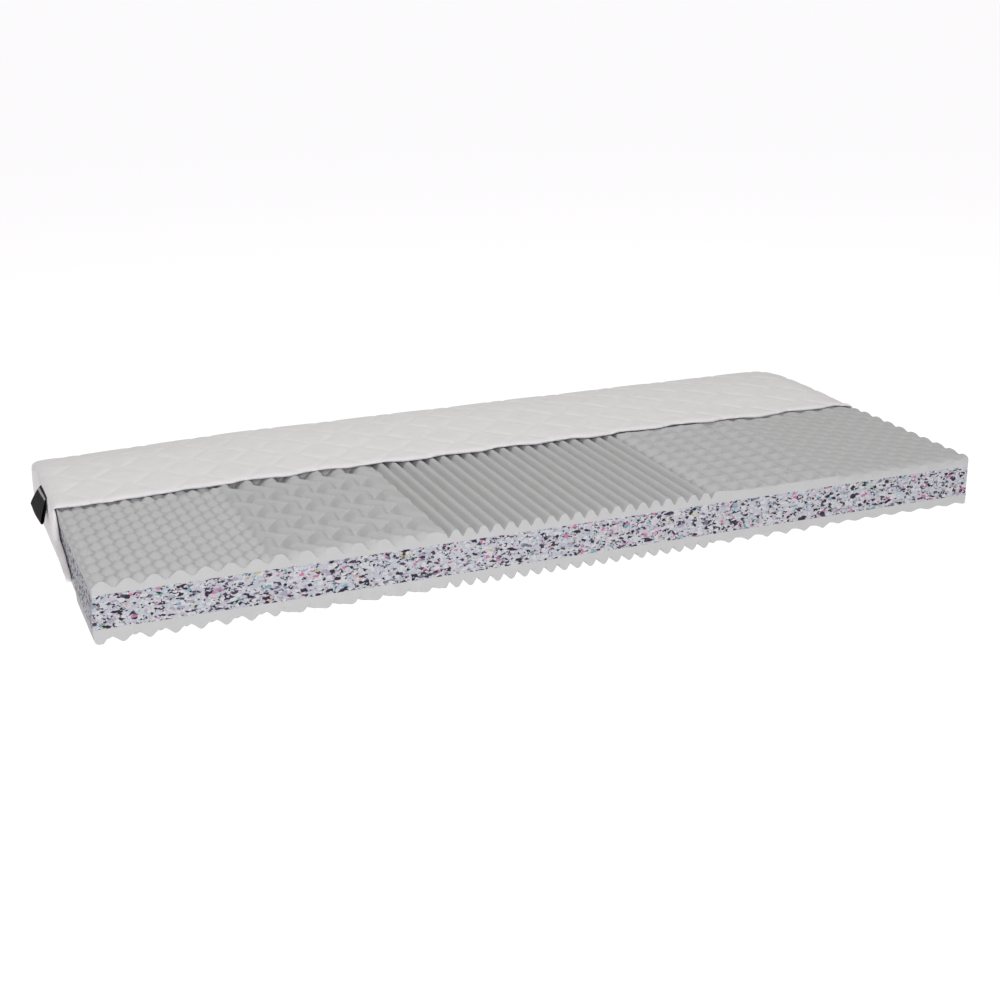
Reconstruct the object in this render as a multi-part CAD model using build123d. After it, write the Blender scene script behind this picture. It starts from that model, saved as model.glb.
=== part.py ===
from build123d import *
import os

# A zoned foam mattress with its quilted cover cut back to show the layers.
# +X runs along the length, +Y to the rear long side, +Z up, in millimetres.
# The origin is the middle of the foam's footprint, on the floor.

# ---- driving dimensions -------------------------------------------------
LENGTH = 2000
WIDTH = 900
HALF_LENGTH = LENGTH / 2
HALF_WIDTH = WIDTH / 2

# foam layers: two profiled sheets cut from one slab, glued to a core slab
CORE_BASE = 32
CORE_THICKNESS = 70
CORE_TOP = CORE_BASE + CORE_THICKNESS
TOP_SHEET_MEAN = 19.5
BOTTOM_SHEET_MEAN = 21.5
DEEPEST_SWING = 10.5
FOAM_TOP = CORE_TOP + TOP_SHEET_MEAN + DEEPEST_SWING
BOTTOM_SHEET_BASE = CORE_BASE - BOTTOM_SHEET_MEAN

# comfort zones along the length: end of zone, wave pitch, one crest, half of the wave's height
ZONES = [
    (-650, 50.0, -980, 7.0),
    (-300, 52.5, -628, DEEPEST_SWING),
    (327, 30.0, -262, 8.5),
    (650, 48.5, 372, 7.0),
    (1000, 50.0, 700, 6.5),
]
WAVE_ROUNDNESS = 0.4  # share of a half wave that its control handles reach

# quilted cover: face fabric, wadding and backing, quilted together
FACE_CLOTH = 0.8
BACKING_CLOTH = 0.6
TOP_WADDING = 6.6
BOTTOM_WADDING = 2.6
LAY_GAP = 0.5  # between the foam's crests and the cover
END_GAP = 3.0  # between the foam's end faces and the cover
BACK_GAP = 4.0  # between the foam's rear face and the cover, where the zip's tape runs
BORDER_THICKNESS = 5.0
BACK_BORDER_THICKNESS = 4.0
COVER_CORNER = 9.0
COVER_HALF_LENGTH = HALF_LENGTH + END_GAP + BORDER_THICKNESS
COVER_REAR = HALF_WIDTH + BACK_GAP + BACK_BORDER_THICKNESS
COVER_UNDERSIDE = FOAM_TOP + LAY_GAP
COVER_FLOOR = BACKING_CLOTH + BOTTOM_WADDING + FACE_CLOTH

# where the cover is cut back, and the tongue that its left end keeps low down
CUT_LEFT = 27
CUT_MIDDLE = 50
CUT_RIGHT = 60
BOTTOM_CUT = -60
TONGUE_TIP = -150
TONGUE_ROOT_Z = 66
TONGUE_TIP_Z = 40

# zip along the rear long side
ZIP_Z = 66
ZIP_HALF_LENGTH = 950
TAPE_WIDTH = 15.4
TAPE_THICKNESS = 0.8
COIL_WIDTH = 2.8
COIL_HEIGHT = 2.4
CHAIN_SLIT = 1.2  # between the two halves, where the slider's neck runs
ZIP_WINDOW = 20  # height between the upper and the lower rear border
STOP_LENGTH = 4
TAPE_FACE = HALF_WIDTH + BACK_GAP  # outer face of the tape, inner face of the border

# slider, with the pull's crossbar captive under its bridge
SLIDER_LENGTH = 14
SLIDER_HEIGHT = 9.6
SLIDER_PLATE = 1.2
SLIDER_GAP = 0.4
NECK_THICKNESS = 0.7
NECK_LENGTH = 5
SLIDER_X = -ZIP_HALF_LENGTH + SLIDER_LENGTH / 2 + 0.5
SLIDER_FRONT = TAPE_FACE + COIL_HEIGHT + SLIDER_GAP
BRIDGE_SPAN = 9
BRIDGE_BAR = 1.2
BRIDGE_WIDTH = 2.0
BRIDGE_RISE = 3.6
PULL_LENGTH = 28
PULL_WIDTH = 8
PULL_THICKNESS = 1.2
PULL_BAR = 1.2
PULL_WINDOW = (6.0, 3.6)
PULL_LIFT = 0.6  # between the slider's plate and the pull lying on it
PULL_Y = SLIDER_FRONT + SLIDER_PLATE + PULL_LIFT + PULL_THICKNESS / 2

# woven ribbon label, a loop with both ends sewn into the left end's top seam
LABEL_START = 120
LABEL_WIDTH = 95
LABEL_THICKNESS = 1.0
LABEL_SEAM_Z = 127
LABEL_FOLD_Z = 68
LABEL_BULGE = 20
LABEL_TURN = 2.5
LABEL_CLEARANCE = 0.5
LABEL_SEAM_X = -COVER_HALF_LENGTH - LABEL_CLEARANCE


def block(x0, x1, y0, y1, z0, z1):
    """A box given by its two corners."""
    centre = Pos((x0 + x1) / 2, (y0 + y1) / 2, (z0 + z1) / 2)
    return centre * Box(x1 - x0, y1 - y0, z1 - z0)


def wave_turns():
    """(x, height) of each crest and trough along the length, height from the sheet's mean level."""
    turns = [(-HALF_LENGTH, 0)]
    start = -HALF_LENGTH
    for end, pitch, crest, swing in ZONES:
        half = pitch / 2
        step = round((start - crest) / half) - 1
        while crest + step * half < end - half / 8:
            height = swing if step % 2 == 0 else -swing
            x = crest + step * half
            if x > start + half / 8 and height * turns[-1][1] <= 0:
                turns.append((x, height))
            step += 1
        start = end
    return turns + [(HALF_LENGTH, 0)]


def wave_edges(level):
    """Smooth edges from crest to trough and on, about the given level."""
    turns = wave_turns()
    edges = []
    for (x0, h0), (x1, h1) in zip(turns, turns[1:]):
        reach = (x1 - x0) * WAVE_ROUNDNESS
        handles = [(x0, level + h0), (x0 + reach, level + h0), (x1 - reach, level + h1), (x1, level + h1)]
        edges.append(Bezier(*handles))
    return edges


def waved_slab(level, flat_z):
    """A slab with a flat face at flat_z and waves about level, with its crests along Y."""
    edges = wave_edges(level)
    left, right = edges[0] @ 0, edges[-1] @ 1
    rim = Polyline((left.X, left.Y), (-HALF_LENGTH, flat_z), (HALF_LENGTH, flat_z), (right.X, right.Y))
    section = Plane.XZ * make_face(edges + [rim])
    return extrude(section, amount=HALF_WIDTH, both=True)


def core_slab():
    """Slab pressed and bonded from foam flakes."""
    return block(-HALF_LENGTH, HALF_LENGTH, -HALF_WIDTH, HALF_WIDTH, CORE_BASE, CORE_TOP)


def top_profile_sheet():
    return waved_slab(CORE_TOP + TOP_SHEET_MEAN, CORE_TOP)


def bottom_profile_sheet():
    """Its tips are pressed flat where they stand on the cover's bottom panel."""
    sheet = waved_slab(BOTTOM_SHEET_BASE, CORE_BASE)
    pressed = COVER_FLOOR + LAY_GAP
    return sheet - block(-HALF_LENGTH - 1, HALF_LENGTH + 1, BOTTOM_CUT - 3, HALF_WIDTH + 1, -1, pressed)


def panel(z0, z1, corners):
    """A flat panel over corners, listed along its front edge, with rounded rear corners."""
    rear = [(COVER_HALF_LENGTH, COVER_REAR), (-COVER_HALF_LENGTH, COVER_REAR)]
    front = corners if len(corners) == 2 else None
    if front:
        outline = Polyline(*corners, *rear, close=True)
        face = make_face(outline)
    else:
        edge = Spline(*corners)
        rest = Polyline(corners[-1], *rear, corners[0])
        face = make_face([edge, rest])
    slab = Pos(0, 0, z0) * extrude(face, amount=z1 - z0)
    rear_edges = slab.edges().filter_by(Axis.Z).sort_by(Axis.Y)[-2:]
    return fillet(rear_edges, COVER_CORNER + BORDER_THICKNESS)


TOP_CUT = [(-COVER_HALF_LENGTH, CUT_LEFT), (0, CUT_MIDDLE), (COVER_HALF_LENGTH, CUT_RIGHT)]
UNDER_CUT = [(-COVER_HALF_LENGTH, BOTTOM_CUT), (COVER_HALF_LENGTH, BOTTOM_CUT)]


def stack(base, plies, cut):
    """Flat plies, one on another, from base up."""
    solids = []
    for thickness in plies:
        solids.append(panel(base, base + thickness, cut))
        base += thickness
    return solids


def left_border():
    """The left end of the cover, cut back to a rounded tongue low down."""
    tongue_base = 16
    front = [
        (CUT_LEFT - 17, COVER_UNDERSIDE),
        (-14, 96),
        (-16, TONGUE_ROOT_Z),
        (-90, 56),
        (TONGUE_TIP, TONGUE_TIP_Z),
    ]
    tip_turn = ThreePointArc(front[-1], (TONGUE_TIP - 9, 28), (TONGUE_TIP, tongue_base))
    rear = COVER_REAR - COVER_CORNER
    under = Polyline((TONGUE_TIP, tongue_base), (BOTTOM_CUT, COVER_FLOOR), (rear, COVER_FLOOR))
    back = Polyline((rear, COVER_FLOOR), (rear, COVER_UNDERSIDE), front[0])
    face = Plane.YZ * make_face([Polyline(*front), tip_turn, under, back])
    return Pos(-COVER_HALF_LENGTH, 0, 0) * extrude(face, amount=BORDER_THICKNESS)


def right_border():
    """The right end of the cover, cut straight down."""
    x0, x1 = COVER_HALF_LENGTH - BORDER_THICKNESS, COVER_HALF_LENGTH
    return block(x0, x1, CUT_RIGHT, COVER_REAR - COVER_CORNER, COVER_FLOOR, COVER_UNDERSIDE)


def back_border(z0, z1):
    """A strip of the rear long side that turns round both rear corners to meet the end borders."""
    outer_r = COVER_CORNER + BORDER_THICKNESS
    front = COVER_REAR - COVER_CORNER
    outer = block(-COVER_HALF_LENGTH, COVER_HALF_LENGTH, front - 60, COVER_REAR, z0, z1)
    outer = fillet(outer.edges().filter_by(Axis.Z).sort_by(Axis.Y)[-2:], outer_r)
    side = BORDER_THICKNESS
    inner = block(-COVER_HALF_LENGTH + side, COVER_HALF_LENGTH - side, front - 61, TAPE_FACE, z0 - 1, z1 + 1)
    inner = fillet(inner.edges().filter_by(Axis.Z).sort_by(Axis.Y)[-2:], COVER_CORNER - BACK_GAP)
    strip = outer - inner
    return strip - block(-HALF_LENGTH * 2, HALF_LENGTH * 2, front - 70, front, z0 - 1, z1 + 1)


def tape(side):
    """One woven half of the zip's tape: side is +1 above the chain, -1 below it."""
    near, far = side * CHAIN_SLIT / 2, side * (CHAIN_SLIT / 2 + TAPE_WIDTH)
    z0, z1 = ZIP_Z + min(near, far), ZIP_Z + max(near, far)
    reach = ZIP_HALF_LENGTH + 20
    return block(-reach, reach, TAPE_FACE - TAPE_THICKNESS, TAPE_FACE, z0, z1)


def coil(side):
    """One half of the zip's nylon coil, as the round-cornered bar that its turns fill."""
    near, far = side * CHAIN_SLIT / 2, side * (CHAIN_SLIT / 2 + COIL_WIDTH)
    z0, z1 = ZIP_Z + min(near, far), ZIP_Z + max(near, far)
    bar = block(-ZIP_HALF_LENGTH, ZIP_HALF_LENGTH, TAPE_FACE, TAPE_FACE + COIL_HEIGHT, z0, z1)
    outer = bar.edges().filter_by(Axis.X).sort_by(Axis.Y)[-2:]
    return fillet(outer, COIL_HEIGHT * 0.35)


def zip_end_stops():
    """A crimped clip past each end of the chain."""
    stops = []
    for side in (-1, 1):
        x = side * (ZIP_HALF_LENGTH + STOP_LENGTH / 2)
        half_z = CHAIN_SLIT / 2 + COIL_WIDTH
        clip = block(
            x - STOP_LENGTH / 2, x + STOP_LENGTH / 2,
            TAPE_FACE, TAPE_FACE + COIL_HEIGHT,
            ZIP_Z - half_z, ZIP_Z + half_z,
        )
        stops.append(fillet(clip.edges().filter_by(Axis.X).sort_by(Axis.Y)[-2:], COIL_HEIGHT * 0.35))
    return Compound(children=stops)


def zip_slider():
    """Two plates joined by a neck through the chain's slit, with a bridge over the outer plate."""
    x0, x1 = SLIDER_X - SLIDER_LENGTH / 2, SLIDER_X + SLIDER_LENGTH / 2
    z0, z1 = ZIP_Z - SLIDER_HEIGHT / 2, ZIP_Z + SLIDER_HEIGHT / 2
    rear_face = TAPE_FACE - TAPE_THICKNESS - SLIDER_GAP
    outer = block(x0, x1, SLIDER_FRONT, SLIDER_FRONT + SLIDER_PLATE, z0, z1)
    outer = fillet(outer.edges().filter_by(Axis.Y), 2.5)
    inner = block(x0, x1, rear_face - SLIDER_PLATE, rear_face, z0, z1)
    inner = fillet(inner.edges().filter_by(Axis.Y), 2.5)
    neck_z = NECK_THICKNESS / 2
    neck = block(x1 - NECK_LENGTH - 1, x1 - 1, rear_face, SLIDER_FRONT, ZIP_Z - neck_z, ZIP_Z + neck_z)
    top = SLIDER_FRONT + SLIDER_PLATE + BRIDGE_RISE
    bridge_z = BRIDGE_WIDTH / 2
    half = BRIDGE_SPAN / 2
    plate = SLIDER_FRONT + SLIDER_PLATE
    arch = block(SLIDER_X - half, SLIDER_X + half, plate, top, ZIP_Z - bridge_z, ZIP_Z + bridge_z)
    arch = fillet(arch.edges().filter_by(Axis.Z).sort_by(Axis.Y)[-2:], 1.6)
    inside = half - BRIDGE_BAR
    arch -= block(
        SLIDER_X - inside, SLIDER_X + inside, plate - 1, top - BRIDGE_BAR, ZIP_Z - 5, ZIP_Z + 5
    )
    return outer + inner + neck + arch


def zip_pull():
    """A flat tab: the bar at its end lies under the slider's bridge, which passes through its window."""
    start = SLIDER_X - PULL_BAR / 2
    half_y, half_z = PULL_THICKNESS / 2, PULL_WIDTH / 2
    tab = block(start, start + PULL_LENGTH, PULL_Y - half_y, PULL_Y + half_y, ZIP_Z - half_z, ZIP_Z + half_z)
    tab = fillet(tab.edges().filter_by(Axis.Y).sort_by(Axis.X)[-2:], 3.0)
    window_length, window_height = PULL_WINDOW
    x0 = start + PULL_BAR
    return tab - block(
        x0, x0 + window_length, PULL_Y - 2, PULL_Y + 2, ZIP_Z - window_height / 2, ZIP_Z + window_height / 2
    )


def label_loop():
    """Ribbon that bulges out from its seam, folds at the bottom and comes back up beside the cover."""
    x = LABEL_SEAM_X
    outside = [
        (x, LABEL_SEAM_Z),
        (x - LABEL_BULGE * 0.8, LABEL_SEAM_Z - 8),
        (x - LABEL_BULGE, LABEL_SEAM_Z - 30),
        (x - LABEL_BULGE * 0.6, LABEL_FOLD_Z),
        (x, LABEL_SEAM_Z - 30),
    ]
    section = make_face(Polyline(*outside, close=True))
    section = fillet(section.vertices(), LABEL_TURN)
    ring = section - offset(section, amount=-LABEL_THICKNESS)
    return Pos(0, LABEL_START + LABEL_WIDTH, 0) * extrude(Plane.XZ * ring, amount=LABEL_WIDTH)


def all_parts():
    """Every sub-part by the name of its node."""
    parts = {
        "core_slab": core_slab(),
        "top_profile_sheet": top_profile_sheet(),
        "bottom_profile_sheet": bottom_profile_sheet(),
        "cover_left_border": left_border(),
        "cover_right_border": right_border(),
        "cover_back_border_upper": back_border(ZIP_Z + ZIP_WINDOW / 2, COVER_UNDERSIDE),
        "cover_back_border_lower": back_border(COVER_FLOOR, ZIP_Z - ZIP_WINDOW / 2),
        "zip_tape_upper": tape(1),
        "zip_tape_lower": tape(-1),
        "zip_coil_upper": coil(1),
        "zip_coil_lower": coil(-1),
        "zip_end_stops": zip_end_stops(),
        "zip_slider": zip_slider(),
        "zip_pull": zip_pull(),
        "label_loop": label_loop(),
    }
    top_plies = stack(COVER_UNDERSIDE, (BACKING_CLOTH, TOP_WADDING, FACE_CLOTH), TOP_CUT)
    bottom_plies = stack(0, (FACE_CLOTH, BOTTOM_WADDING, BACKING_CLOTH), UNDER_CUT)
    for name, solid in zip(("backing", "wadding", "outer"), top_plies):
        parts["cover_top_" + name] = solid
    for name, solid in zip(("outer", "wadding", "backing"), bottom_plies):
        parts["cover_bottom_" + name] = solid
    return parts


def main():
    os.makedirs("parts", exist_ok=True)
    for name, shape in all_parts().items():
        export_step(shape, "parts/" + name + ".step")


main()
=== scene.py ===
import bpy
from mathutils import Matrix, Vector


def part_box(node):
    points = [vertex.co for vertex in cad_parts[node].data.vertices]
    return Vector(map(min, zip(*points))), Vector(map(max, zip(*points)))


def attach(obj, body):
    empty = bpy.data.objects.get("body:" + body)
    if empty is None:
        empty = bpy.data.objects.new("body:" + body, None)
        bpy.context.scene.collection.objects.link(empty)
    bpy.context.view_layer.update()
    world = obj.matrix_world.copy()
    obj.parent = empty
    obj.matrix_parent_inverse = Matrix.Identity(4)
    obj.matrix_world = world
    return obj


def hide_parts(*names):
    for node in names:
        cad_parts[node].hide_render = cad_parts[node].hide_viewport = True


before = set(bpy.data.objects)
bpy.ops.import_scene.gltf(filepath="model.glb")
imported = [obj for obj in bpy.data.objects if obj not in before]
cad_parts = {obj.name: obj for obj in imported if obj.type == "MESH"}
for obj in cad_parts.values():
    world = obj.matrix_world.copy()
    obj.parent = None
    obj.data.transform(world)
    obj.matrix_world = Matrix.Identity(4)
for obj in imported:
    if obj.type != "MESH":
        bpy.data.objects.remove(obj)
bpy.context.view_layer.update()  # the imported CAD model, the fixed frame that every piece here is built around

import math
import random
import bpy
import numpy as np
from mathutils import Quaternion, Vector

MM = 0.001
TURN = 2 * math.pi

# ---- places, all from the frame --------------------------------------------
CORE_LOW, CORE_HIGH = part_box("core_slab")
CLOTH_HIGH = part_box("cover_top_outer")[1]
WADDING_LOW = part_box("cover_top_wadding")[0]
BACKING_LOW, BACKING_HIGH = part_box("cover_top_backing")
FLOOR_CLOTH_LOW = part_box("cover_bottom_outer")[0]
FLOOR_BACKING_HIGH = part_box("cover_bottom_backing")[1]
UPPER_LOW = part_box("cover_back_border_upper")[0]
LOWER_LOW, LOWER_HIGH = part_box("cover_back_border_lower")
UPPER_TAPE_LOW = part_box("zip_tape_upper")[0]
LOWER_TAPE_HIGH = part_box("zip_tape_lower")[1]
LABEL_LOW, LABEL_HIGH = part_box("label_loop")

HALF_LENGTH = CORE_HIGH[0]
HALF_WIDTH = CORE_HIGH[1]
CORE_BASE, CORE_TOP = CORE_LOW[2], CORE_HIGH[2]
COVER_END = CLOTH_HIGH[0]
COVER_REAR = CLOTH_HIGH[1]
COVER_TOP = CLOTH_HIGH[2]
COVER_FLOOR = FLOOR_BACKING_HIGH[2]
ZIP_Z = (UPPER_TAPE_LOW[2] + LOWER_TAPE_HIGH[2]) / 2

# ---- foam profile -----------------------------------------------------------
TOP_MEAN = 20.0 * MM
BOTTOM_MEAN = 21.5 * MM
FRONT_Y = -HALF_WIDTH
REAR_FOAM_CORNER = 50 * MM  # the cover rounds the soft foam's rear corners
PRESSED_FROM_Y = FLOOR_CLOTH_LOW[1] - 3 * MM  # behind this the foam stands on the cover's bottom panel
PRESSED_Z = COVER_FLOOR + 0.5 * MM

# ---- cover ---------------------------------------------------------------------
CORNER = 56 * MM
END_THICKNESS = 5 * MM
BACK_THICKNESS = 4 * MM
FACE_CLOTH = 0.8 * MM
SEAM_Z = 127.5 * MM
ROLL = 17 * MM  # how far in from its seam the top panel starts to turn down
RIM = 20 * MM  # how far in from the cut its front rim starts to turn down
ZIP_END = 950 * MM  # how far from the middle the opening for the zip ends
STITCH_PITCH = 77.9 * MM
STITCH_START = -15.4 * MM
STITCH_SWING = 20.7 * MM
STITCH_REPEAT = 134 * MM
TUCK = 5 * MM  # how far the end borders turn in under the foam's rounded lower edge
GROOVE = 2.4 * MM
GROOVE_WIDTH = 4.5 * MM


def smoothstep(low, high, value):
    """0 at low, 1 at high, with a soft start and end."""
    share = np.clip((value - low) / (high - low), 0.0, 1.0)
    return share * share * (3 - 2 * share)


def mix(a, b, share):
    return a + (b - a) * share


def corner_inset(to_rear, radius):
    """How far a rounded plan corner pulls the end in, at a distance from the rear edge."""
    left = np.clip(radius - to_rear, 0, radius)
    return radius - np.sqrt(radius * radius - left * left)


# ---- foam heights ----------------------------------------------------------------
def stepped_ridges(x, y, pitch, step, rest):
    """Ridges that run back for a rest, then swing one pitch across, again and again."""
    turn = y / step
    whole = np.floor(turn)
    share = np.clip((turn - whole - rest / 2) / (1 - rest), 0, 1)
    centre = turn - np.round(turn)
    lean = np.where(np.abs(centre) < rest / 2, 2 * centre / rest, 1 - 2 * share)
    drift = whole + mix(share, smoothstep(0.0, 0.14, share), 0.24) - 0.05 * lean
    theta = TURN * (x / pitch + drift)
    swing = np.sin(math.pi * share)
    theta = theta + 0.27 * (1 - np.cos(theta)) * (1 - swing)
    wave = np.cos(theta) - 0.12 * np.cos(2 * theta)
    return wave + 0.22 * swing * (1 - np.cos(theta))


def staggered_bumps(x, y, pitch_x, pitch_y, breadth):
    """Bumps with every second row half a pitch across; breadth widens them and narrows the pits."""
    wave = np.cos(TURN * x / pitch_x) * np.cos(TURN * y / pitch_y)
    return wave - breadth * (2 * wave * wave - 1)


def pit_grid(x, y, pitch_x, pitch_y):
    """Level ridges both ways, with a pit in each mesh."""
    across = 0.5 - 0.5 * np.cos(TURN * x / pitch_x)
    along = 0.5 - 0.5 * np.cos(TURN * y / pitch_y)
    return 1 - 2 * across ** 0.75 * along ** 0.85


# one height for each comfort zone: first those of the top sheet, then those of the bottom sheet
def top_small_bumps(x, y):
    return 7.7 * MM * staggered_bumps(x + 981.5 * MM, y - FRONT_Y, 50 * MM, 50 * MM, 0.08)


def top_stepped_ridges(x, y):
    ridges = stepped_ridges(x + 581.2 * MM, y - FRONT_Y + 24 * MM, 53.5 * MM, 101.5 * MM, 0.5)
    level = 0.7 * smoothstep(-338 * MM, -304 * MM, x)
    return mix(1.2 * MM + 9.3 * MM * ridges, 7.5 * MM, level)


def top_ribs(x, y):
    theta = TURN * (x + 265.2 * MM) / (30.4 * MM)
    return 0.5 * MM + 8.2 * MM * (np.cos(theta) - 0.24 * np.cos(2 * theta)) + 0 * y


def top_pits(x, y):
    pits = pit_grid(x - 367 * MM, y - FRONT_Y, 48.5 * MM, 48.75 * MM)
    return -4.6 * MM + 11.4 * MM * mix(1.0, pits, 0.6 + 0.4 * smoothstep(349 * MM, 366 * MM, x))


def top_shallow_bumps(x, y):
    bumps = staggered_bumps(x - 700 * MM, y - FRONT_Y - 12.5 * MM, 50 * MM, 50 * MM, 0.25)
    return 1.8 * MM + 2.6 * MM * bumps


def under_small_bumps(x, y):
    return 1.6 * MM + 7.1 * MM * staggered_bumps(x + 997 * MM, y - FRONT_Y, 50 * MM, 50 * MM, -0.12)


def under_stepped_ridges(x, y):
    ridges = stepped_ridges(x + 547 * MM, y - FRONT_Y + 24 * MM, 53.0 * MM, 101.5 * MM, 0.5)
    return 9.3 * MM * ridges


def under_ribs(x, y):
    theta = TURN * (x + 265.2 * MM) / (30.4 * MM)
    return 1.6 * MM + 7.8 * MM * (np.cos(theta) - 0.16 * np.cos(2 * theta)) + 0 * y


def under_pits(x, y):
    return -0.5 * MM + 6.0 * MM * pit_grid(x - 422 * MM, y - FRONT_Y - 24 * MM, 48.0 * MM, 48.75 * MM)


def under_shallow_bumps(x, y):
    return -2.3 * MM + 4.6 * MM * staggered_bumps(x - 702 * MM, y - FRONT_Y - 8 * MM, 49 * MM, 50 * MM, 0.1)


# where each next zone starts, and how wide the change into it is
ZONE_STARTS = [(-650 * MM, 26 * MM), (-287 * MM, 9 * MM), (332 * MM, 12 * MM), (650 * MM, 26 * MM)]
TOP_ZONES = [top_small_bumps, top_stepped_ridges, top_ribs, top_pits, top_shallow_bumps]
UNDER_ZONES = [under_small_bumps, under_stepped_ridges, under_ribs, under_pits, under_shallow_bumps]


def profile(zones, x, y):
    """How far a profiled face stands out from its mean level."""
    height = zones[0](x, y)
    for zone, (start, width) in zip(zones[1:], ZONE_STARTS):
        share = smoothstep(start - width / 2, start + width / 2, x)
        height = mix(height, zone(x, y), share)
    return height


def sag(x, y):
    """How far the tight cover pulls the rear and right end down, and the cut front edge rolls over."""
    rear = np.clip((y - 260 * MM) / (HALF_WIDTH - 260 * MM), 0, 1.05) ** 2
    left = 13 * MM * smoothstep(-450 * MM, -HALF_LENGTH, x)
    right = 1.5 * MM * smoothstep(600 * MM, HALF_LENGTH, x)
    end = 11 * MM * np.clip((x - 930 * MM) / (HALF_LENGTH - 930 * MM), 0, 1.1) ** 2
    front = 6 * MM * smoothstep(340 * MM, 420 * MM, x) * quarter_round(y - FRONT_Y, 24 * MM)
    pulled = (12 * MM + left + right) * rear + end * smoothstep(-20 * MM, 90 * MM, y) * (1 - 0.5 * rear)
    return pulled + front


def top_surface(x, y):
    return CORE_TOP + TOP_MEAN + profile(TOP_ZONES, x, y) - sag(x, y)


def bottom_surface(x, y):
    rounded = 13 * MM * quarter_round(HALF_LENGTH - np.abs(x), 15 * MM)
    stub = smoothstep(-971 * MM, -985 * MM, x)
    depth = mix(profile(UNDER_ZONES, x, y), 9.2 * MM, stub)
    free = np.maximum(CORE_BASE - BOTTOM_MEAN - depth, rounded)
    pressed = np.maximum(free, PRESSED_Z)
    return mix(free, pressed, smoothstep(PRESSED_FROM_Y - 6 * MM, PRESSED_FROM_Y, y))


# ---- meshes --------------------------------------------------------------------
def new_piece(name, vertices, faces, material, smooth=True):
    mesh = bpy.data.meshes.new(name)
    mesh.from_pydata(vertices, [], faces)
    mesh.update()
    mesh.polygons.foreach_set("use_smooth", [smooth] * len(mesh.polygons))
    piece = bpy.data.objects.new(name, mesh)
    bpy.context.scene.collection.objects.link(piece)
    mesh.materials.append(material)
    return piece


def line_up(low, high, step):
    return np.linspace(low, high, max(2, int(round((high - low) / step)) + 1))


def crowded(low, high, step, edge, count):
    """Even steps, with count closer ones towards both ends."""
    near = edge * (1 - np.cos(np.linspace(0, math.pi / 2, count + 1)))
    middle = line_up(low + edge, high - edge, step)[1:-1]
    return np.concatenate([low + near, middle, (high - near)[::-1]])


def grid_quads(rows, columns, start=0):
    index = np.arange(rows * columns).reshape(rows, columns) + start
    quads = np.stack([index[:-1, :-1], index[:-1, 1:], index[1:, 1:], index[1:, :-1]], -1)
    rim = np.concatenate([index[0, :], index[1:, -1], index[-1, -2::-1], index[-2:0:-1, 0]])
    return quads.reshape(-1, 4), rim


def tube(path, outward, radius, sides):
    """Vertices and faces of a capped round bar along a path of points."""
    ahead = np.gradient(path, axis=0)
    ahead /= np.linalg.norm(ahead, axis=1, keepdims=True)
    out = outward - ahead * np.einsum("ij,ij->i", outward, ahead)[:, None]
    out /= np.linalg.norm(out, axis=1, keepdims=True)
    aside = np.cross(ahead, out)
    angles = [TURN * corner / sides for corner in range(sides)]
    rings = [path + radius * (out * math.cos(a) + aside * math.sin(a)) for a in angles]
    ring = np.arange(sides)
    faces = []
    for row in range(len(path) - 1):
        a = row * sides + ring
        b = row * sides + np.roll(ring, -1)
        faces.append(np.stack([a, b, b + sides, a + sides], -1))
    quads = np.concatenate(faces).tolist()
    last = (len(path) - 1) * sides
    caps = [ring[::-1].tolist(), (ring + last).tolist()]
    return np.stack(rings, 1).reshape(-1, 3).tolist(), quads + caps


def shell(name, outer, inner, material, sharp=50):
    """A closed skin between two grids of points of the same size."""
    rows, columns = outer.shape[:2]
    quads, rim = grid_quads(rows, columns)
    back_quads, back_rim = grid_quads(rows, columns, rows * columns)
    walls = np.stack([rim, back_rim, np.roll(back_rim, -1), np.roll(rim, -1)], -1)
    vertices = np.concatenate([outer.reshape(-1, 3), inner.reshape(-1, 3)])
    faces = np.concatenate([quads, back_quads[:, ::-1], walls])
    a, b, c, d = (vertices[faces[:, i]] for i in range(4))
    volume = np.einsum("ij,ij->i", a, np.cross(b, c)).sum() + np.einsum("ij,ij->i", a, np.cross(c, d)).sum()
    if volume < 0:
        faces = faces[:, ::-1]
    piece = new_piece(name, vertices.tolist(), faces.tolist(), material)
    piece.data.set_sharp_from_angle(angle=math.radians(sharp))
    return piece


def grid_normals(points):
    """A unit normal at each point of a grid."""
    along = np.gradient(points, axis=1)
    across = np.gradient(points, axis=0)
    normal = np.cross(along, across)
    return normal / np.maximum(np.linalg.norm(normal, axis=-1, keepdims=True), 1e-12)


def ripple(points, size, amount, seed):
    """Smooth, seeded unevenness: a few waves in random directions."""
    draw = random.Random(seed)
    total = np.zeros(points.shape[:-1])
    for _ in range(6):
        direction = np.array([draw.uniform(-1, 1) for _ in range(3)])
        direction *= TURN / (size * draw.uniform(0.6, 1.6) * np.linalg.norm(direction))
        total += np.sin(points @ direction + draw.uniform(0, TURN))
    return amount * total / 3


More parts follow.
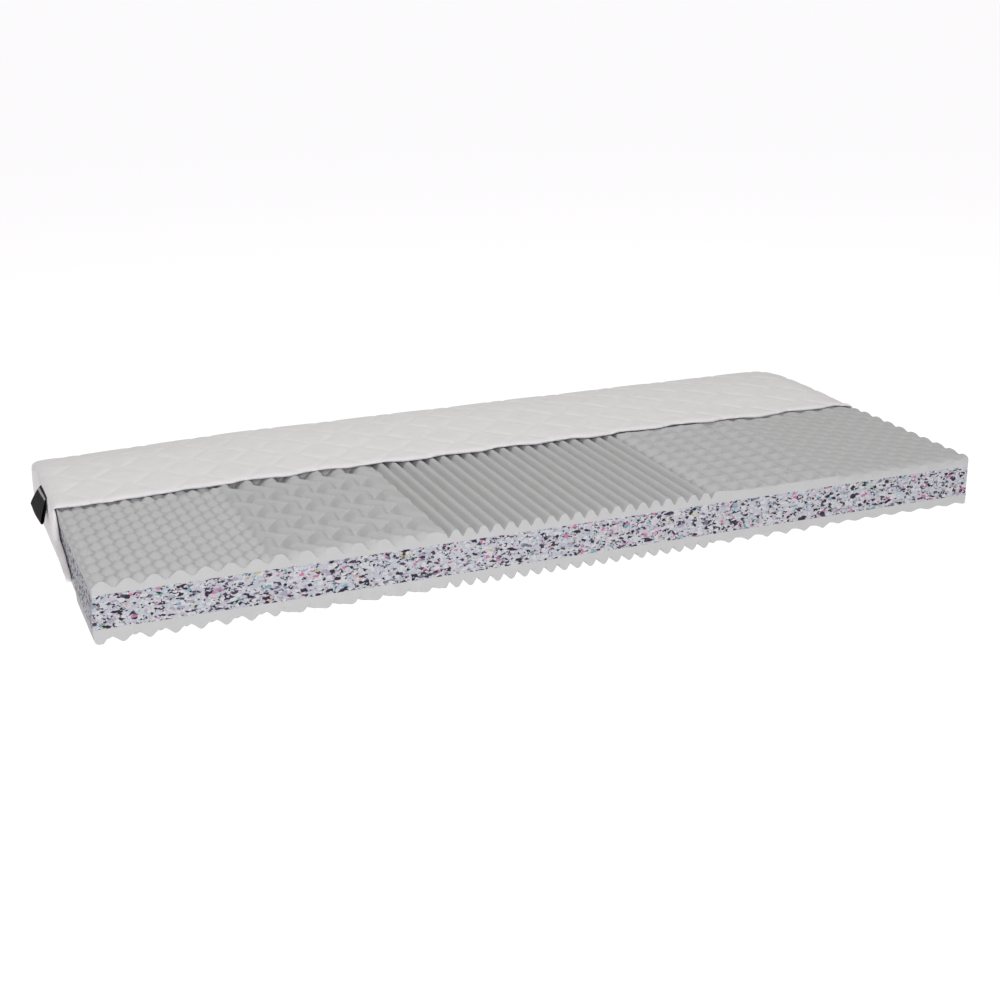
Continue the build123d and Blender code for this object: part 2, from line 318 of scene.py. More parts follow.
# ---- materials --------------------------------------------------------------------
class Finish:
    """A node material with one Principled shader, built a node at a time."""

    def __init__(self, name, roughness, **constants):
        self.material = bpy.data.materials.new(name)
        self.material.use_nodes = True
        self.tree = self.material.node_tree
        self.shader = self.tree.nodes["Principled BSDF"]
        self.shader.inputs["Roughness"].default_value = roughness
        for socket, value in constants.items():
            self.shader.inputs[socket.replace("_", " ")].default_value = value
        self.place = self.node("ShaderNodeTexCoord").outputs["Object"]

    def node(self, kind, inputs=None, **settings):
        made = self.tree.nodes.new(kind)
        for key, value in settings.items():
            setattr(made, key, value)
        for key, value in (inputs or {}).items():
            if isinstance(value, bpy.types.NodeSocket):
                self.tree.links.new(value, made.inputs[key])
            else:
                made.inputs[key].default_value = value
        return made

    def scaled(self, x, y, z):
        return self.node("ShaderNodeMapping", {"Vector": self.place, "Scale": (x, y, z)}).outputs["Vector"]

    def noise(self, scale, detail=2.0, place=None, roughness=0.5):
        inputs = {"Vector": place or self.place, "Scale": scale, "Detail": detail, "Roughness": roughness}
        return self.node("ShaderNodeTexNoise", inputs)

    def voronoi(self, scale, place=None, feature="F1", randomness=1.0):
        inputs = {"Vector": place or self.place, "Scale": scale, "Randomness": randomness}
        return self.node("ShaderNodeTexVoronoi", inputs, feature=feature)

    def wave(self, scale, direction):
        inputs = {"Vector": self.place, "Scale": scale}
        return self.node("ShaderNodeTexWave", inputs, bands_direction=direction).outputs["Fac"]

    def math(self, operation, a, b):
        return self.node("ShaderNodeMath", {0: a, 1: b}, operation=operation).outputs[0]

    def ramp(self, value, stops, interpolation="LINEAR"):
        made = self.node("ShaderNodeValToRGB", {"Fac": value})
        made.color_ramp.interpolation = interpolation
        elements = made.color_ramp.elements
        while len(elements) < len(stops):
            elements.new(1.0)
        for element, (position, colour) in zip(elements, stops):
            element.position = position
            element.color = (*colour, 1)
        return made.outputs["Color"]

    def blend(self, a, b, factor, mode="MIX"):
        made = self.node("ShaderNodeMix", {"Factor": factor}, data_type="RGBA", blend_type=mode)
        for socket, value in ((6, a), (7, b)):
            if isinstance(value, bpy.types.NodeSocket):
                self.tree.links.new(value, made.inputs[socket])
            else:
                made.inputs[socket].default_value = (*value, 1)
        return made.outputs[2]

    def bump(self, height, distance, strength, after=None):
        inputs = {"Height": height, "Distance": distance, "Strength": strength}
        if after:
            inputs["Normal"] = after
        return self.node("ShaderNodeBump", inputs).outputs["Normal"]

    def finish(self, colour, normal=None):
        self.tree.links.new(colour, self.shader.inputs["Base Color"])
        if normal:
            self.tree.links.new(normal, self.shader.inputs["Normal"])
        return self.material


def foam_finish():
    """Open-cell foam: small pits and faint patches."""
    it = Finish("foam_open_cell", 0.95, Sheen_Weight=0.15, Sheen_Roughness=0.6)
    patches = it.noise(26.0, 3.0).outputs["Fac"]
    tint = it.ramp(patches, [(0.3, (0.521, 0.527, 0.517)), (0.7, (0.545, 0.546, 0.545))])
    cells = it.voronoi(900.0).outputs["Distance"]
    grain = it.noise(420.0, 3.0).outputs["Fac"]
    shade = it.ramp(grain, [(0.25, (0.93, 0.93, 0.93)), (0.75, (1.0, 1.0, 1.0))])
    colour = it.blend(tint, shade, 1.0, "MULTIPLY")
    pits = it.bump(cells, 0.5 * MM, 0.5)
    normal = it.bump(grain, 0.9 * MM, 0.45, pits)
    return it.finish(colour, normal)


# flake colours, each from its share of the flakes up to the next one
FLAKE_COLOURS = [
    (0.000, (0.026, 0.016, 0.034)),
    (0.135, (0.060, 0.042, 0.075)),
    (0.190, (0.200, 0.170, 0.230)),
    (0.225, (0.400, 0.380, 0.450)),
    (0.270, (0.500, 0.540, 0.600)),
    (0.440, (0.560, 0.560, 0.600)),
    (0.560, (0.660, 0.660, 0.670)),
    (0.760, (0.590, 0.630, 0.670)),
    (0.860, (0.620, 0.550, 0.600)),
    (0.935, (0.600, 0.190, 0.360)),
    (0.958, (0.200, 0.420, 0.500)),
    (0.972, (0.140, 0.380, 0.340)),
    (0.980, (0.480, 0.520, 0.180)),
    (0.986, (0.600, 0.430, 0.360)),
    (0.992, (0.640, 0.640, 0.640)),
]


def rebonded_finish():
    """Pressed flakes of many foams: mostly white and pale, with dark and a few bright ones."""
    it = Finish("foam_rebonded", 0.93, Sheen_Weight=0.1)
    warp = it.noise(150.0, 3.0).outputs["Color"]
    shift = it.node("ShaderNodeVectorMath", {0: warp, 1: (0.5, 0.5, 0.5)}, operation="SUBTRACT").outputs[0]
    shift = it.node("ShaderNodeVectorMath", {0: shift, "Scale": 0.007}, operation="SCALE").outputs[0]
    place = it.node("ShaderNodeVectorMath", {0: it.place, 1: shift}, operation="ADD").outputs[0]
    place = it.node("ShaderNodeMapping", {"Vector": place, "Scale": (0.55, 0.55, 1.0)}).outputs["Vector"]
    large = it.voronoi(185.0, place)
    small = it.voronoi(330.0, place)
    pick = it.node("ShaderNodeSeparateColor", {"Color": large.outputs["Color"]})
    pick_small = it.node("ShaderNodeSeparateColor", {"Color": small.outputs["Color"]})
    flakes = it.ramp(pick.outputs[0], FLAKE_COLOURS, "CONSTANT")
    crumbs = it.ramp(pick_small.outputs[1], FLAKE_COLOURS, "CONSTANT")
    choose = it.math("GREATER_THAN", it.noise(60.0, 2.0).outputs["Fac"], 0.53)
    colour = it.blend(flakes, crumbs, choose)
    gaps = it.voronoi(185.0, place, "DISTANCE_TO_EDGE").outputs["Distance"]
    seam = it.ramp(gaps, [(0.0, (0.62, 0.60, 0.66)), (0.06, (1, 1, 1))])
    colour = it.blend(colour, seam, 0.8, "MULTIPLY")
    grain = it.noise(500.0, 3.0).outputs["Fac"]
    fine = it.ramp(grain, [(0.3, (0.78, 0.78, 0.78)), (0.7, (0.92, 0.92, 0.92))])
    colour = it.blend(colour, fine, 1.0, "MULTIPLY")
    hollow = it.bump(gaps, 1.2 * MM, 0.7)
    normal = it.bump(grain, 0.8 * MM, 0.5, hollow)
    return it.finish(colour, normal)


def knit_finish(name, colour, scale=820.0):
    """Fine pique knit: rows of small raised loops."""
    it = Finish(name, 0.85, Sheen_Weight=0.1, Sheen_Roughness=0.4)
    loops = it.voronoi(scale, randomness=0.35).outputs["Distance"]
    slubs = it.noise(38.0, 4.0).outputs["Fac"]
    low = tuple(0.955 * c for c in colour)
    tint = it.ramp(slubs, [(0.3, low), (0.7, colour)])
    shade = it.ramp(loops, [(0.0, (1, 1, 1)), (0.7, (0.93, 0.93, 0.935))])
    tone = it.blend(tint, shade, 1.0, "MULTIPLY")
    normal = it.bump(loops, -0.2 * MM, 0.35)
    normal = it.bump(slubs, 1.2 * MM, 0.25, normal)
    return it.finish(tone, normal)


def wadding_finish():
    """Carded polyester: fine fibres every way."""
    it = Finish("cover_wadding_fibre", 0.9, Sheen_Weight=0.5)
    fibres = it.noise(900.0, 5.0, it.scaled(1.0, 0.25, 1.6), 0.7).outputs["Fac"]
    tufts = it.noise(120.0, 3.0).outputs["Fac"]
    tint = it.ramp(tufts, [(0.3, (0.80, 0.765, 0.79)), (0.7, (0.87, 0.835, 0.86))])
    normal = it.bump(fibres, 0.8 * MM, 0.8)
    normal = it.bump(tufts, 2.0 * MM, 0.5, normal)
    return it.finish(tint, normal)


def woven_finish(name, colour, threads, roughness=0.6):
    """Plain weave: fine threads one way and across."""
    it = Finish(name, roughness, Sheen_Weight=0.2)
    one = it.wave(threads, "Y")
    other = it.wave(threads, "DIAGONAL")
    weave = it.math("MULTIPLY", one, other)
    low = tuple(0.82 * c for c in colour)
    tone = it.ramp(weave, [(0.0, low), (0.8, colour)])
    return it.finish(tone, it.bump(weave, 0.2 * MM, 0.7))


def label_finish():
    """Near-black satin ribbon with one plain pale woven stripe."""
    it = Finish("label_ribbon_satin", 0.75, Specular_IOR_Level=0.25)
    threads = it.wave(700.0, "Y")
    ribs = it.wave(420.0, "Z")
    weave = it.math("MULTIPLY", threads, ribs)
    dark = it.ramp(weave, [(0.0, (0.006, 0.005, 0.005)), (0.8, (0.018, 0.016, 0.014))])
    axes = it.node("ShaderNodeSeparateXYZ", {"Vector": it.place})
    above = it.math("GREATER_THAN", axes.outputs["Z"], LABEL_HIGH[2] - 8 * MM)
    below = it.math("LESS_THAN", axes.outputs["Z"], LABEL_HIGH[2] - 3.5 * MM)
    start = it.math("GREATER_THAN", axes.outputs["Y"], LABEL_LOW[1] + 2 * MM)
    end = it.math("LESS_THAN", axes.outputs["Y"], LABEL_HIGH[1] - 2 * MM)
    stripe = it.math("MULTIPLY", it.math("MULTIPLY", above, below), it.math("MULTIPLY", start, end))
    colour = it.blend(dark, (0.42, 0.42, 0.41), stripe)
    return it.finish(colour, it.bump(weave, 0.15 * MM, 0.7))


def coil_finish():
    """White nylon monofilament."""
    it = Finish("zip_coil_nylon", 0.38, Specular_IOR_Level=0.5)
    wear = it.noise(240.0, 3.0).outputs["Fac"]
    return it.finish(it.ramp(wear, [(0.3, (0.74, 0.73, 0.73)), (0.7, (0.83, 0.82, 0.82))]))


def metal_finish():
    """Nickel-plated die casting, a little worn."""
    it = Finish("zip_metal_nickel", 0.32, Metallic=1.0)
    wear = it.noise(300.0, 4.0).outputs["Fac"]
    colour = it.ramp(wear, [(0.3, (0.50, 0.49, 0.47)), (0.7, (0.66, 0.65, 0.63))])
    rough = it.ramp(wear, [(0.3, (0.24, 0.24, 0.24)), (0.7, (0.42, 0.42, 0.42))])
    it.tree.links.new(rough, it.shader.inputs["Roughness"])
    return it.finish(colour, it.bump(wear, 0.05 * MM, 0.4))


# ---- camera, light and floor ------------------------------------------------------
def add_object(name, data, place, direction, roll=0.0):
    made = bpy.data.objects.new(name, data)
    bpy.context.scene.collection.objects.link(made)
    made.location = place
    made.rotation_mode = "QUATERNION"
    made.rotation_quaternion = Vector(direction).to_track_quat("-Z", "Y") @ Quaternion((0, 0, 1), roll)
    return made


CAMERA_AIM = (-0.0433, -0.1379, 0.066)
CAMERA_ANGLES = (-21.679, 18.659, -0.774)  # azimuth, elevation and roll, in degrees
CAMERA_DISTANCE = 3.7177
CAMERA_LENS = 59.017


def add_camera():
    azimuth, elevation, roll = (math.radians(angle) for angle in CAMERA_ANGLES)
    back = Vector((
        math.sin(azimuth) * math.cos(elevation),
        -math.cos(azimuth) * math.cos(elevation),
        math.sin(elevation),
    ))
    data = bpy.data.cameras.new("camera")
    data.lens = CAMERA_LENS
    data.clip_end = 200
    place = Vector(CAMERA_AIM) + back * CAMERA_DISTANCE
    bpy.context.scene.camera = add_object("camera", data, place, -back, roll)


def add_area(name, place, size, power, colour):
    data = bpy.data.lights.new(name, "AREA")
    data.shape = "RECTANGLE"
    data.size, data.size_y = size
    data.energy = power
    data.color = colour
    add_object(name, data, place, -Vector(place))


def add_studio():
    world = bpy.data.worlds.new("studio")
    bpy.context.scene.world = world
    world.use_nodes = True
    background = world.node_tree.nodes["Background"]
    background.inputs["Color"].default_value = (1.0, 1.0, 1.0, 1)
    background.inputs["Strength"].default_value = 0.2
    add_area("front_softbox", (-1.0, -3.9, 1.9), (4.2, 1.8), 100, (0.995, 0.98, 1.02))
    add_area("top_softbox", (0.0, 0.4, 3.6), (4.4, 3.4), 70, (1.0, 1.0, 0.98))
    bpy.context.scene.view_settings.view_transform = "Standard"


def add_floor():
    """A plain white floor that gives off light itself, so that it stays even behind the object."""
    it = Finish("studio_floor", 0.9)
    it.shader.inputs["Base Color"].default_value = (0.2, 0.2, 0.2, 1)
    it.shader.inputs["Emission Color"].default_value = (1.0, 0.985, 1.0, 1)
    it.shader.inputs["Emission Strength"].default_value = 0.92
    reach = 90.0
    corners = [(-reach, -reach, 0), (reach, -reach, 0), (reach, reach, 0), (-reach, reach, 0)]
    new_piece("floor", corners, [(0, 1, 2, 3)], it.material, smooth=False)


# ---- foam pieces ------------------------------------------------------------------
def column_lines():
    """Grid lines along the length, closer together over the ribs."""
    rib_start, rib_end = -300 * MM, 331 * MM
    return np.concatenate([
        line_up(-HALF_LENGTH, rib_start, 3.5 * MM),
        line_up(rib_start, rib_end, 2.4 * MM)[1:],
        line_up(rib_end, HALF_LENGTH, 3.5 * MM)[1:],
    ])


def end_swell(x, y, z):
    """How far the soft lower part of the foam's left end swells out in front of the cover."""
    swell = 4.5 * MM * smoothstep(CORE_TOP, 38 * MM, z) * smoothstep(-170 * MM, -250 * MM, y)
    return swell * smoothstep(-930 * MM, -HALF_LENGTH, x)


def foam_plan(columns, rows):
    """A grid over the foam's footprint, with its rear corners rounded."""
    grid_x, grid_y = np.meshgrid(columns, rows)
    inset = corner_inset(HALF_WIDTH - grid_y, REAR_FOAM_CORNER)
    return grid_x * (1 - inset / HALF_LENGTH), grid_y


def profiled_sheet(name, node, row_step, surface, flat_z, material):
    """A sheet with a profiled face and a flat one glued to the core."""
    rows = line_up(-HALF_WIDTH, HALF_WIDTH - REAR_FOAM_CORNER, row_step)
    turn = HALF_WIDTH - REAR_FOAM_CORNER + REAR_FOAM_CORNER * np.sin(np.linspace(0, math.pi / 2, 9))[1:]
    x, y = foam_plan(column_lines(), np.concatenate([rows, turn]))
    height, level = surface(x, y), np.full_like(x, flat_z)
    cut = np.stack([x - end_swell(x, y, height), y, height], -1)
    flat = np.stack([x - end_swell(x, y, level), y, level], -1)
    piece = shell(name, cut, flat, material)
    ride_foam(piece, node)


def ride_foam(piece, node):
    """Declares a solid foam piece of the body that stays put."""
    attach(piece, "foam")
    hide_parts(node)


def core_ring():
    """Points round the core's footprint, rounded at the rear corners."""
    reach, radius = HALF_LENGTH, REAR_FOAM_CORNER
    front = [(x, -HALF_WIDTH) for x in line_up(-reach, reach, 5 * MM)]
    right = [(reach, y) for y in line_up(-HALF_WIDTH, HALF_WIDTH - radius, 5 * MM)[1:]]
    arc = [(math.cos(a), math.sin(a)) for a in np.linspace(0, math.pi / 2, 9)[1:]]
    turn = [(reach - radius + radius * c, HALF_WIDTH - radius + radius * s) for c, s in arc]
    half = right + turn
    rear = [(x, HALF_WIDTH) for x in line_up(reach - radius, radius - reach, 5 * MM)[1:-1]]
    back = [(-x, y) for x, y in half[::-1]]
    return np.array(front + half + rear + back)


def core_piece(material):
    """The pressed flake slab, its sawn faces slightly uneven."""
    ring = core_ring()
    count = len(ring)
    levels = line_up(CORE_BASE, CORE_TOP, 5 * MM)
    ahead = np.roll(ring, -1, 0) - np.roll(ring, 1, 0)
    outward = np.stack([ahead[:, 1], -ahead[:, 0]], -1) / np.linalg.norm(ahead, axis=1)[:, None]
    vertices = []
    for level in levels:
        points = np.column_stack([ring, np.full(count, level)])
        edge = min(level - CORE_BASE, CORE_TOP - level) / (5 * MM)
        rough = (ripple(points, 26 * MM, 0.35 * MM, 5) + ripple(points, 12 * MM, 0.2 * MM, 6)) * min(1, edge)
        points[:, :2] -= outward * (0.3 * MM + rough)[:, None] * min(1, edge)
        points[:, 0] -= end_swell(points[:, 0], points[:, 1], points[:, 2])
        vertices.extend(points.tolist())
    faces = [list(range(count))[::-1], list(range((len(levels) - 1) * count, len(levels) * count))]
    for row in range(len(levels) - 1):
        for i in range(count):
            a, b = row * count + i, row * count + (i + 1) % count
            faces.append([a, b, b + count, a + count])
    piece = new_piece("core_flake_slab", vertices, faces, material)
    piece.data.set_sharp_from_angle(angle=math.radians(50))
    ride_foam(piece, "core_slab")


# ---- cover: top panel -----------------------------------------------------------------
def front_cut(x):
    """Where the top panel is cut back, a gently waving line along the length."""
    line = mix(19 * MM, 37 * MM, smoothstep(-900 * MM, -560 * MM, x))
    line += 13 * MM * quarter_round(COVER_END + x, 24 * MM)
    line += 6.0 * MM * np.sin(TURN * (x - 162 * MM) / (154 * MM)) * smoothstep(-900 * MM, -500 * MM, x)
    return line + 3.0 * MM * np.sin(TURN * x / (410 * MM) + 0.6) + 1.5 * MM * np.sin(TURN * x / (67 * MM))


def settle(x, y):
    """How far the cut edge settles onto the lower bumps of the end zones."""
    left = 2.2 * MM * smoothstep(-600 * MM, -700 * MM, x)
    ribs = 1.0 * MM * smoothstep(-320 * MM, -270 * MM, x)
    right = 3.4 * MM * smoothstep(600 * MM, 720 * MM, x)
    return (left + ribs + right) * smoothstep(190 * MM, 60 * MM, y)


def stitch_offset(y):
    """How far a line of quilting swings aside at a distance along Y."""
    theta = TURN * y / STITCH_REPEAT
    return STITCH_SWING * (np.sin(theta) - np.sin(3 * theta) / 9)


def groove_distance(x, y):
    """Distance to the nearest line of quilting."""
    nearest = np.full(np.shape(x), 1.0)
    base = np.round((x - STITCH_START) / STITCH_PITCH)
    slope = STITCH_SWING * TURN / STITCH_REPEAT * np.cos(TURN * y / STITCH_REPEAT)
    for aside in (-1, 0, 1):
        line = base + aside
        side = 1 - 2 * np.mod(line, 2)
        away = np.abs(x - STITCH_START - line * STITCH_PITCH - side * stitch_offset(y))
        nearest = np.minimum(nearest, away / np.sqrt(1 + slope * slope))
    return nearest


def edge_distance(x, y, inset=0.0):
    """How far in a point is from the cover's ends and rear, with rounded rear corners."""
    radius = CORNER - inset
    across = np.abs(x) - (COVER_END - inset - radius)
    back = y - (COVER_REAR - inset - radius)
    corner = np.hypot(np.maximum(across, 0), np.maximum(back, 0))
    return radius - (corner + np.minimum(np.maximum(across, back), 0))


def quarter_round(distance, reach):
    """1 at an edge, falling to 0 at a reach from it like a quarter of a circle."""
    share = 1 - np.clip(distance / reach, 0, 1)
    return 1 - np.sqrt(np.maximum(1 - share * share, 0))


def seam_height(x, y):
    """Height of the seam between the top panel and the borders."""
    return SEAM_Z - sag(x, y)


def top_height(x, y):
    """Outer face of the top panel: quilted, rolled down at its seams and at its cut rim."""
    puff = 1 / (1 + (groove_distance(x, y) / GROOVE_WIDTH) ** 2)
    level = COVER_TOP - GROOVE * puff - sag(x, y) - settle(x, y)
    level += ripple(np.stack([x, y, 0 * x], -1), 240 * MM, 0.5 * MM, 3) - 0.5 * MM
    level = np.minimum(level, COVER_TOP)
    level -= (level - seam_height(x, y)) * quarter_round(edge_distance(x, y), ROLL)
    return level - 5.5 * MM * quarter_round(y - front_cut(x), RIM)


def top_plan(inset, front_inset):
    """A grid over the top panel from its front cut to its rear seam."""
    columns = crowded(-COVER_END + inset, COVER_END - inset, 4.5 * MM, ROLL, 8)
    share = crowded(0.0, 1.0, 0.011, 0.04, 8)
    x, v = np.meshgrid(columns, share)
    front = front_cut(x) + front_inset
    y = mix(front, COVER_REAR - inset, v)
    radius = CORNER - inset
    squeeze = corner_inset(COVER_REAR - inset - y, radius)
    return x * (1 - squeeze / (COVER_END - inset)), y


def ride_cover(piece, node):
    """Declares a piece that comes off with the cover."""
    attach(piece, "cover")
    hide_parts(node)


def top_panel(cloth, wadding, backing):
    """The three quilted plies of the top panel."""
    x, y = top_plan(0.0, 0.0)
    outer = np.stack([x, y, top_height(x, y)], -1)
    inward = grid_normals(outer)
    face = shell("cover_top_face_cloth", outer, outer - inward * FACE_CLOTH, cloth)
    ride_cover(face, "cover_top_outer")
    x, y = top_plan(3 * MM, 0.8 * MM)
    under = top_height(x, y) - 1.1 * MM
    lower = WADDING_LOW[2] + 0.1 * MM - sag(x, y) - settle(x, y)
    high = np.stack([x, y, np.maximum(under, lower + 0.3 * MM)], -1)
    fibre = shell("cover_top_fibre_wadding", high, np.stack([x, y, lower], -1), wadding)
    ride_cover(fibre, "cover_top_wadding")
    x, y = top_plan(5.5 * MM, -0.6 * MM)
    level = -sag(x, y) - settle(x, y)
    low = np.stack([x, y, BACKING_LOW[2] + level], -1)
    high = np.stack([x, y, BACKING_HIGH[2] + level], -1)
    lining = shell("cover_top_lining", high, low, backing)
    ride_cover(lining, "cover_top_backing")


# ---- cover: end and rear borders -----------------------------------------------------
# the left end's cut edge, from the floor up: height and distance along Y, in millimetres
TONGUE = [
    (4, -60), (10, -88), (18, -128), (27, -156), (33, -160), (40, -148), (49, -112), (58, -92),
    (64, -60), (69, -30), (80, -18), (95, -10), (108, 3), (119, 15), (127.5, 29),
]


def smooth_through(points, values):
    """Catmull-Rom curve through points (key, place), read at the given keys."""
    keys, places = (np.array(column, float) for column in zip(*points))
    slopes = np.gradient(places, keys)
    index = np.clip(np.searchsorted(keys, values) - 1, 0, len(keys) - 2)
    gap = keys[index + 1] - keys[index]
    t = (values - keys[index]) / gap
    start = (1 + 2 * t) * (1 - t) ** 2 * places[index] + t * (1 - t) ** 2 * gap * slopes[index]
    end = t * t * (3 - 2 * t) * places[index + 1] + t * t * (t - 1) * gap * slopes[index + 1]
    return start + end


def left_cut(z):
    """Where the left end border is cut, down to its rounded tongue."""
    return smooth_through(TONGUE, z / MM) * MM


def right_cut(z):
    """Where the right end border is cut, straight down from the top panel's cut."""
    return front_cut(COVER_END) + 0 * z


def pillow(share, edge):
    """1 over most of a width, falling roundly to 0 at both ends."""
    near = np.clip(np.minimum(share, 1 - share) / edge, 0, 1)
    return np.sqrt(np.maximum(1 - (1 - near) ** 2, 0))


def end_border(name, node, side, front, material):
    """The cover's end panel, padded, thin at its seams and rounded along its cut edge."""
    z = crowded(COVER_FLOOR, SEAM_Z, 4 * MM, 5 * MM, 5)
    v = crowded(0.0, 1.0, 0.009, 0.02, 7)
    grid_v, grid_z = np.meshgrid(v, z)
    y = mix(front(grid_z), COVER_REAR - CORNER, grid_v)
    share = (grid_z - COVER_FLOOR) / (SEAM_Z - COVER_FLOOR)
    grid_z = grid_z - share * sag(side * COVER_END, y)
    fat = pillow(share, 0.05) * pillow(np.minimum(grid_v, 0.5), 0.016)
    flat = np.stack([0 * y, y, grid_z], -1)
    soft = ripple(flat, 150 * MM, 0.8 * MM, 11 + side) * fat
    bulge = 0.8 * MM * np.sin(math.pi * share) * fat + soft
    free = y - front(COVER_FLOOR + share * (SEAM_Z - COVER_FLOOR))
    rim = smoothstep(30 * MM, 10 * MM, free) * np.sin(math.pi * np.clip(share, 0, 1)) ** 0.5
    stand_off = 6.0 * MM * smoothstep(75 * MM, 0.0, free) * np.sin(math.pi * share)
    tuck = TUCK * smoothstep(26 * MM, COVER_FLOOR, grid_z)
    proud = COVER_END - END_THICKNESS / 2 - tuck
    half = END_THICKNESS / 2 * mix(0.25, 1, fat) + 2.6 * MM * rim * fat
    outer = side * (proud + half + (stand_off + 0.4 * MM) * mix(0.4, 1, fat) + np.maximum(bulge, -0.5 * MM))
    inner = side * (proud - half + 0.4 * stand_off * mix(1.6, 1, fat))
    piece = shell(name, np.stack([outer, y, grid_z], -1), np.stack([inner, y, grid_z], -1), material)
    ride_cover(piece, node)


def rear_path(offset):
    """Points round the rear of the cover from the left end to the right, offset inwards."""
    radius = CORNER - offset
    centre_x, centre_y = COVER_END - CORNER, COVER_REAR - CORNER
    arc = np.linspace(math.pi, math.pi / 2, 13)
    left = np.column_stack([-centre_x + radius * np.cos(arc), centre_y + radius * np.sin(arc)])
    right = left[::-1] * (-1, 1)
    middle = line_up(-centre_x, centre_x, 6 * MM)[1:-1]
    straight = np.column_stack([middle, np.full_like(middle, centre_y + radius)])
    return np.concatenate([left, straight, right])


def rear_border(name, node, low, high, material):
    """A padded strip of the rear side, hemmed along the zip and closed up beyond its ends."""
    shares = crowded(0.0, 1.0, 0.06, 0.07, 5)
    beyond = smoothstep(ZIP_END + 2 * MM, ZIP_END + 12 * MM, np.abs(rear_path(0.0)[:, 0]))
    start, stop = low, high
    if high == SEAM_Z:
        start = mix(low, ZIP_Z + 0.2 * MM, beyond)
    else:
        stop = mix(high, ZIP_Z - 0.2 * MM, beyond)
    rows = []
    for share in shares:
        level = mix(start, stop, share)
        fat = float(pillow(np.array(share), 0.09))
        middle = BACK_THICKNESS / 2
        half = middle * mix(0.3, 1, fat)
        outer, inner = rear_path(middle - half), rear_path(middle + half)
        height = level - sag(outer[:, 0], outer[:, 1]) * share * (high == SEAM_Z)
        points = np.column_stack([outer, height])
        soft = ripple(points, 160 * MM, 0.4 * MM, 21) * fat
        points[:, 1] -= np.abs(soft)
        rows.append((points, np.column_stack([inner, height])))
    outer = np.stack([row[0] for row in rows])
    inner = np.stack([row[1] for row in rows])
    piece = shell(name, outer, inner, material)
    ride_cover(piece, node)


def bottom_panel(cloth, wadding, backing):
    """The three plies of the bottom panel, flat on the floor."""
    plies = [
        ("cover_bottom_face_cloth", "cover_bottom_outer", "cover_cloth", cloth, 0.0),
        ("cover_bottom_fibre_wadding", "cover_bottom_wadding", "wadding", wadding, 1.5 * MM),
        ("cover_bottom_lining", "cover_bottom_backing", "backing_cloth", backing, 3.0 * MM),
    ]
    for name, node, slot, material, inset in plies:
        low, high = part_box(node)
        reach = COVER_END - TUCK - inset
        columns = crowded(-reach, reach, 12 * MM, ROLL, 6)
        v = crowded(0.0, 1.0, 0.02, 0.03, 5)
        x, share = np.meshgrid(columns, v)
        front = low[1] + 2 * MM * np.sin(TURN * x / (420 * MM)) + 2 * MM
        y = mix(front, COVER_REAR - inset, share)
        squeeze = corner_inset(COVER_REAR - inset - y, CORNER - inset)
        x = x * (1 - squeeze / reach)
        lift = 0.0
        if slot == "cover_cloth":
            lift = 1.2 * MM * quarter_round(edge_distance(x, y), 6 * MM)
        lower = np.stack([x, y, low[2] + 0 * x + lift], -1)
        upper = np.stack([x, y, high[2] + 0 * x + lift], -1)
        piece = shell(name, upper, lower, material)
        ride_cover(piece, node)


# ---- zip ----------------------------------------------------------------------------
def zip_tapes(material):
    """The two ribbed tapes that carry the coils."""
    for node, rests in (("zip_tape_upper", ["cover_back_border_upper_pad"]), ("zip_tape_lower", [])):
        low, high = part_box(node)
        x, z = np.meshgrid(line_up(low[0], high[0], 4 * MM), line_up(low[2], high[2], 1.1 * MM))
        ribs = 0.1 * MM * np.cos(TURN * z / (2.2 * MM))
        outer = np.stack([x, high[1] - 0.1 * MM + ribs, z], -1)
        inner = np.stack([x, low[1] + 0.1 * MM - ribs, z], -1)
        piece = shell(node + "_weave", outer, inner, material, 80)
        ride_cover(piece, node)


def zip_coils(material):
    """Each half of the chain as a flattened nylon helix whose loops mesh with the other's."""
    pitch, wire, turns_sides, wire_sides = 1.5 * MM, 0.34 * MM, 10, 6
    for node, side in (("zip_coil_upper", 1), ("zip_coil_lower", -1)):
        low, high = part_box(node)
        centre_y, centre_z = (low[1] + high[1]) / 2, (low[2] + high[2]) / 2
        radius_y, radius_z = (high[1] - low[1]) / 2 - wire, (high[2] - low[2]) / 2 - wire
        steps = int((high[0] - low[0] - pitch) / pitch * turns_sides)
        angle = np.arange(steps) * TURN / turns_sides
        x = low[0] + pitch / 2 + pitch * angle / TURN + (pitch / 2 if side < 0 else 0)
        y = centre_y + radius_y * np.cos(angle)
        z = centre_z + side * radius_z * np.sin(angle)
        outward = np.column_stack([0 * angle, np.cos(angle), side * np.sin(angle)])
        vertices, faces = tube(np.column_stack([x, y, z]), outward, wire, wire_sides)
        piece = new_piece(node + "_helix", vertices, faces, material)
        ride_cover(piece, node)


def dress_zip_metal(material):
    """Gives the CAD shapes of the zip's metal parts their finish."""
    for node in ("zip_end_stops", "zip_slider", "zip_pull"):
        part = bpy.data.objects[node]
        for slot in part.material_slots:
            slot.material = material


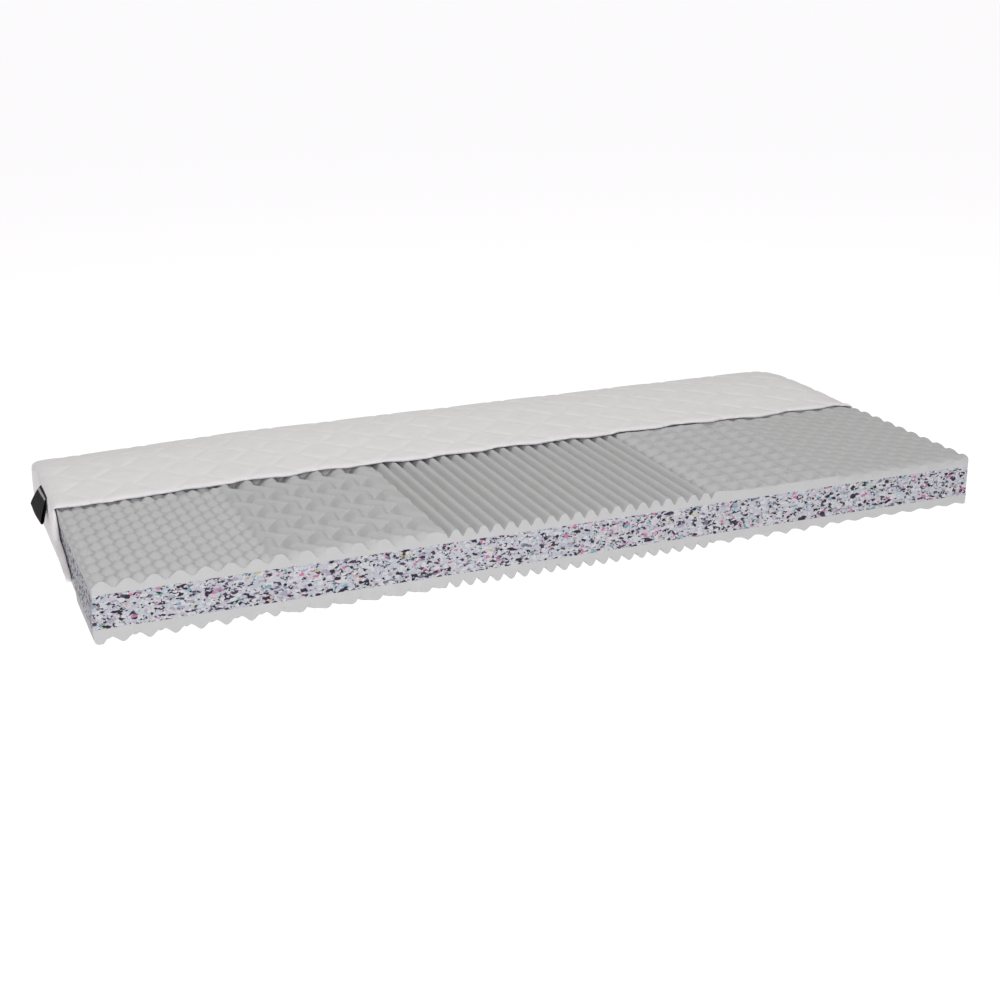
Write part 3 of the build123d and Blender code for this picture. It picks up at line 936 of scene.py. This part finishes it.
# ---- label ---------------------------------------------------------------------------
def label_piece(material):
    """Folded ribbon: out from the seam, round its fold, and back up beside the cover."""
    route = [
        (-0.2, 0), (-4.5, -8), (-10, -22), (-15, -38), (-18.5, -52), (-19, -58.5),
        (-16.5, -60.5), (-13.5, -58), (-9.5, -46), (-5, -30), (-2.2, -15), (-1.2, -4),
    ]
    seam_x, seam_z = -COVER_END - 0.5 * MM, LABEL_HIGH[2]
    lengths = np.concatenate([[0], np.cumsum([math.dist(a, b) for a, b in zip(route, route[1:])])])
    along = np.linspace(0, lengths[-1], 60)
    out = smooth_through(list(zip(lengths, [p[0] for p in route])), along) * MM
    down = smooth_through(list(zip(lengths, [p[1] for p in route])), along) * MM
    y = line_up(LABEL_LOW[1], LABEL_HIGH[1], 4 * MM)
    grid_y, grid_out = np.meshgrid(y, out)
    grid_down = np.meshgrid(y, down)[1]
    share = (grid_y - LABEL_LOW[1]) / (LABEL_HIGH[1] - LABEL_LOW[1])
    free = smoothstep(0, -30 * MM, grid_down)
    curl = free * (1.0 * MM * np.cos(TURN * share * 0.9 + 0.4))
    reach = mix(1.0, 1.42, share)
    drop = mix(1.0, 0.70, share)
    middle = np.stack([seam_x + grid_out * reach + curl, grid_y, seam_z + grid_down * drop], -1)
    half = grid_normals(middle) * 0.4 * MM
    piece = shell("label_ribbon_loop", middle + half, middle - half, material)
    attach(piece, "label")
    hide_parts("label_loop")


# ---- the whole object -----------------------------------------------------------------
add_camera()
add_studio()
add_floor()

FOAM, CORE = foam_finish(), rebonded_finish()
CLOTH = knit_finish("cover_knit", (0.935, 0.905, 0.905))
LINING = knit_finish("cover_lining", (0.83, 0.84, 0.88), 1100.0)
WADDING = wadding_finish()

profiled_sheet("foam_top_sheet", "top_profile_sheet", 3.8 * MM, top_surface, CORE_TOP, FOAM)
profiled_sheet("foam_bottom_sheet", "bottom_profile_sheet", 4.5 * MM, bottom_surface, CORE_BASE, FOAM)
core_piece(CORE)

top_panel(CLOTH, WADDING, LINING)
bottom_panel(CLOTH, WADDING, LINING)
end_border("cover_left_border_pad", "cover_left_border", -1, left_cut, CLOTH)
end_border("cover_right_border_pad", "cover_right_border", 1, right_cut, CLOTH)
rear_border("cover_back_border_upper_pad", "cover_back_border_upper", UPPER_LOW[2], SEAM_Z, CLOTH)
rear_border("cover_back_border_lower_pad", "cover_back_border_lower", LOWER_LOW[2], LOWER_HIGH[2], CLOTH)

zip_tapes(woven_finish("zip_tape_weave", (0.90, 0.885, 0.885), 900.0))
zip_coils(coil_finish())
dress_zip_metal(metal_finish())
label_piece(label_finish())
